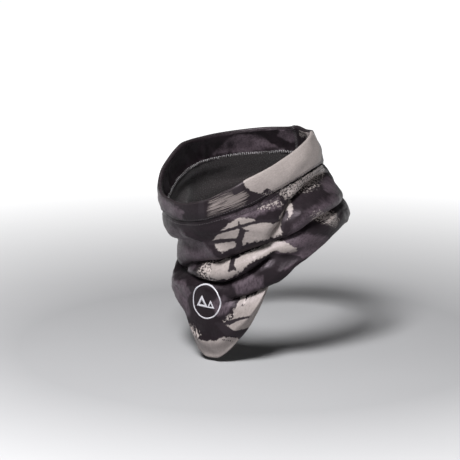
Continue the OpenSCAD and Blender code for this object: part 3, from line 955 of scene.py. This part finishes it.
def fleece():
    """Dark brushed fleece with clumped fibres and small pills."""
    g = Graph("brushed_fleece", Sheen_Weight=0.2, Sheen_Roughness=0.55, Specular_IOR_Level=0.2)
    space = g.solid()
    clumps = g.noise(space, 0.35, 6, 0.7)
    pills = g.between(g.noise(space, 0.9, 2), 0.55, 0.75)
    colour = g.mix(g.times(pills, 0.5), g.mix(clumps, *FLEECE), PILLS)
    normal = g.bump(pills, 0.5, g.bump(clumps, 1.2))
    return g.finish(colour, g.between(clumps, 0.2, 0.8, 0.8, 0.98), normal)


def thread(name, dark, light):
    """Twisted sewing thread."""
    g = Graph(name, Sheen_Weight=0.2, Specular_IOR_Level=0.4)
    space = g.solid()
    twist = g.bands(space, TWIST, "DIAGONAL", 0.8)
    colour = g.mix(g.times(twist, g.noise(space, 0.4, 2)), dark, light)
    return g.finish(colour, 0.55, g.bump(twist, 0.08))


def transfer_film():
    """Heat-pressed film, with faint cracks and rubbed places."""
    g = Graph("badge_film", Coat_Weight=0.15, Coat_Roughness=0.3)
    space = g.solid()
    rubbed = g.between(g.noise(space, 0.8, 5), 0.5, 0.75)
    cracks = g.add("ShaderNodeTexVoronoi", feature="DISTANCE_TO_EDGE")
    g.join(space, cracks.inputs["Vector"])
    cracks.inputs["Scale"].default_value = 0.9
    lines = g.between(cracks.outputs["Distance"], 0.0, 0.05)
    colour = g.mix(lines, FILM_CRACK, g.mix(rubbed, *FILM))
    return g.finish(colour, g.between(rubbed, 0, 1, 0.34, 0.5), g.bump(lines, 0.03))


def satin():
    """Woven satin label tape with long floats along its length."""
    g = Graph("satin_label", Sheen_Weight=0.25, Specular_IOR_Level=0.6)
    flat = g.flat()
    weave = g.times(g.bands(flat, 0.35, "X"), g.bands(flat, 1.4, "Y"))
    colour = g.mix(g.noise(g.flat(1, 0.2), 0.8, 3), *LABEL_SATIN)
    return g.finish(colour, g.between(weave, 0, 1, 0.28, 0.42), g.bump(weave, 0.06))


# ---------------- building the pieces
LAYERS = {
    "light": (LIGHT_PATCHES, BAND_LIGHT_PATCHES, {}),
    "dark": (DARK_PATCHES, BAND_DARK_PATCHES, {}),
    "mauve": (MAUVE_PATCHES, BAND_MAUVE_PATCHES, FACING_MAUVE_PATCHES),
    "speckled": (SPECKLED_PATCHES, BAND_SPECKLED_PATCHES, FACING_SPECKLED_PATCHES),
    "brushed": ({}, BRUSHED_PATCHES, {}),
}


def dress(obj, material, node):
    """Gives a piece its material and its place on the frame, and hides the CAD node that it stands for."""
    obj.data.materials.append(material)
    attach(obj, "root")
    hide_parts(node)
    return obj


def add_print(obj, fields, worn):
    """Gives a cloth the fields of its print, and marks the rows round its fold, where it is worn."""
    edge = np.zeros(fields["light"].shape)
    edge[worn] = 1
    for name, field in {**fields, "edge": edge}.items():
        add_field(obj, name, field)


def make_shell(material, face, heights):
    grid = turned_hem(face)
    shell = cloth("outer_shell_cloth", grid, SHELL_T)
    turned = len(grid) - len(face)
    angles = np.tile(ANGLES, (SHELL_ROWS, 1))
    fields = {}
    for name, (patches, _, _) in LAYERS.items():
        field = patch_field(patches, angles, heights)
        fields[name] = np.concatenate([np.repeat(field[:1], turned, 0), field])
    add_print(shell, fields, slice(turned - 4, turned + 2))
    return dress(shell, material, "outer_shell")


def make_band(material, face, heights):
    grid = folded_band(face)
    band = cloth("collar_band_cloth", grid, SHELL_T)
    turned = len(grid) - 2 * BAND_ROWS
    angles = np.tile(ANGLES, (BAND_ROWS, 1))
    fields = {}
    for name, (_, patches, facing_patches) in LAYERS.items():
        outside = patch_field(patches, angles, heights)
        inside = patch_field(facing_patches, angles, heights)[::-1]
        fields[name] = np.concatenate([outside, np.repeat(outside[-1:], turned, 0), inside])
    add_print(band, fields, slice(BAND_ROWS - 1, BAND_ROWS + turned - 1))
    return dress(band, material, "collar_band"), grid


def make_label(material, lining_face):
    """The blank label, which hangs inside from the band seam and curls a little at its bottom corners."""
    inward = -normals(lining_face)
    inner = lining_face + inward * FLEECE_T
    last = SEAM_ANGLE - LABEL_ASIDE
    columns = column_at(np.linspace(last - math.degrees(LABEL_W / LABEL_RADIUS), last, LABEL_COLUMNS))
    height = inner[:, int(columns[0]) % COLUMNS, 2]
    down = np.linspace(0, LABEL_H, LABEL_ROWS)
    rows = np.interp(height[-1] - LABEL_DROP - down, height, np.arange(LINING_ROWS))
    across, along = np.meshgrid(columns, rows)
    share = np.linspace(0, 1, LABEL_ROWS)[:, None]
    side = np.linspace(-1, 1, LABEL_COLUMNS)[None]
    lift = LABEL_LIFT + LABEL_CURL * share**2 * np.abs(side) ** 3 + LABEL_WAVE * np.sin(share * 4)
    grid = sample(inner, along, across) + sample(inward, along, across) * lift[..., None]
    label = cloth("care_label_satin", grid, LABEL_T, closed=False, column=LABEL_WEAVE)
    return dress(label, material, "care_label")


def on_grid(grid, row):
    """Points all round a grid at one row."""
    return sample(grid, np.full(COLUMNS, float(row)), np.arange(COLUMNS))


def up_grid(grid, rows, angle):
    """Points and normals up one column of a grid."""
    columns = np.full(len(rows), column_at(angle))
    return sample(grid, rows, columns), sample(normals(grid), rows, columns)


def round_stitches(grid, row, kind, radius=THREAD_R):
    """A line of stitches all round a closed grid, on a row that may lie between its own."""
    return stitches(on_grid(grid, row), on_grid(normals(grid), row), kind, radius=radius)


def back_stitches(grid, first, end, side):
    """A zigzag up the back seam with a straight line on each side, outside (1) or inside (-1) a grid."""
    points, out = up_grid(grid, np.arange(first, end), SEAM_ANGLE)
    lines = [stitches(points, out * side, SEAM_ZIGZAG, closed=False)]
    for shift in (-SEAM_SIDE, SEAM_SIDE):
        lines.append(stitches(points, out * side, LOCKSTITCH, shift, closed=False))
    return lines


def make_stitching(threads, shell_face, band_grid, lining_face):
    """Every line of stitches. Each piece is named after the CAD node that it stands for."""
    hem = turned_hem(shell_face)
    inner = lining_face - normals(lining_face) * FLEECE_T
    cover_row = len(band_grid) - 1 - COVER_STITCH_UP
    sewn = {
        "band_topstitch": [round_stitches(band_grid, BAND_STITCH_ROW, TOPSTITCH),
                           round_stitches(shell_face, SHELL_STITCH_ROW, TOPSTITCH)],
        "facing_coverstitch": [round_stitches(band_grid, cover_row, COVERSTITCH, COVER_THREAD_R)],
        "hem_seam": [round_stitches(hem, HEM_ZIGZAG_ROW, HEM_ZIGZAG),
                     round_stitches(hem, HEM_STRAIGHT_ROW, LOCKSTITCH)],
        "shell_back_seam": back_stitches(shell_face, 2, SHELL_ROWS - 5, 1),
        "lining_back_seam": back_stitches(inner, 1, LINING_ROWS - 3, -1),
        "collar_back_seam": back_stitches(band_grid, 2, len(band_grid) - 2, 1),
    }
    for node, lines in sewn.items():
        slot = "light_thread" if node == "facing_coverstitch" else "dark_thread"
        dress(sew(f"{node}_thread", lines), threads[slot], node)


def make_badge(material, face, heights):
    ring = (circle(BADGE_D - 2 * BADGE_LINE), circle(BADGE_D))
    dress(film("badge_ring_film", [ring], face, heights), material, "badge_ring")
    peaks = []
    for place, height, half_width in PEAKS:
        outer = peak(place, height, half_width)
        middle = outer.mean(0)
        peaks.append((middle + (outer - middle) * PEAK_OPENING, outer))
    dress(film("badge_peaks_film", peaks, face, heights), material, "badge_peaks")


def make_gaiter():
    cloth_material = printed_cloth()
    shell_face, shell_heights = shell_surface()
    band_face, band_heights = band_surface()
    shell = make_shell(cloth_material, shell_face, shell_heights)
    band, band_grid = make_band(cloth_material, band_face, band_heights)
    lining_face = lining_surface(shell_face)
    lining = cloth("fleece_lining_cloth", lining_face, FLEECE_T)
    dress(lining, fleece(), "fleece_lining")
    make_badge(transfer_film(), shell_face, shell_heights)
    label = make_label(satin(), lining_face)
    threads = {name: thread(name, *colours) for name, colours in THREADS.items()}
    make_stitching(threads, shell_face, band_grid, lining_face)


# ---------------- studio
def place_camera():
    """The camera is at the photograph's angle, and aims a little beside and below the origin."""
    right = Vector((math.cos(AZIMUTH), math.sin(AZIMUTH), 0))
    away = Vector((math.sin(AZIMUTH) * math.cos(ELEVATION), -math.cos(AZIMUTH) * math.cos(ELEVATION),
                   math.sin(ELEVATION)))
    up = away.cross(right)
    aim = -right * ASIDE - up * BELOW
    camera = bpy.data.cameras.new("camera")
    camera.lens = LENS
    obj = add_object("camera", camera)
    turn = Matrix((right, up, away)).transposed().to_4x4()
    obj.matrix_world = Matrix.Translation(aim + away * DISTANCE) @ turn
    bpy.context.scene.camera = obj


def softbox(name, place, side, power):
    """A square light that faces the origin."""
    light = bpy.data.lights.new(name, "AREA")
    light.size = side
    light.energy = power
    obj = add_object(name, light)
    place = Vector(place)
    obj.matrix_world = Matrix.Translation(place) @ (-place).to_track_quat("-Z", "Y").to_matrix().to_4x4()


def paper():
    """The floor's pale paper, which glows where it is too far away to light the object."""
    g = Graph("floor", Specular_IOR_Level=0.1, Emission_Color=(1, 1, 1, 1))
    grain = g.noise(g.solid(), 0.004, 3)
    away = g.add("ShaderNodeVectorMath", operation="LENGTH")
    g.join(g.add("ShaderNodeTexCoord").outputs["Object"], away.inputs[0])
    g.join(g.between(away.outputs["Value"], *GLOW), g.surface.inputs["Emission Strength"])
    return g.finish(g.mix(grain, *PAPER), 0.9, g.bump(grain, 0.1))


def make_studio():
    bpy.ops.mesh.primitive_plane_add(size=FLOOR_W, location=(0, 0, CAD_BOX[0][2] - FLOOR_DROP))
    floor = bpy.context.object
    floor.name = "floor"
    floor.data.materials.append(paper())
    world = bpy.data.worlds.new("world")
    bpy.context.scene.world = world
    world.use_nodes = True
    background = world.node_tree.nodes["Background"]
    background.inputs["Color"].default_value = (1, 1, 1, 1)
    background.inputs["Strength"].default_value = WORLD_LIGHT
    for name, (place, side, power) in LAMPS.items():
        softbox(name, place, side, power)
    bpy.context.scene.view_settings.view_transform = "Standard"


place_camera()
make_studio()
make_gaiter()
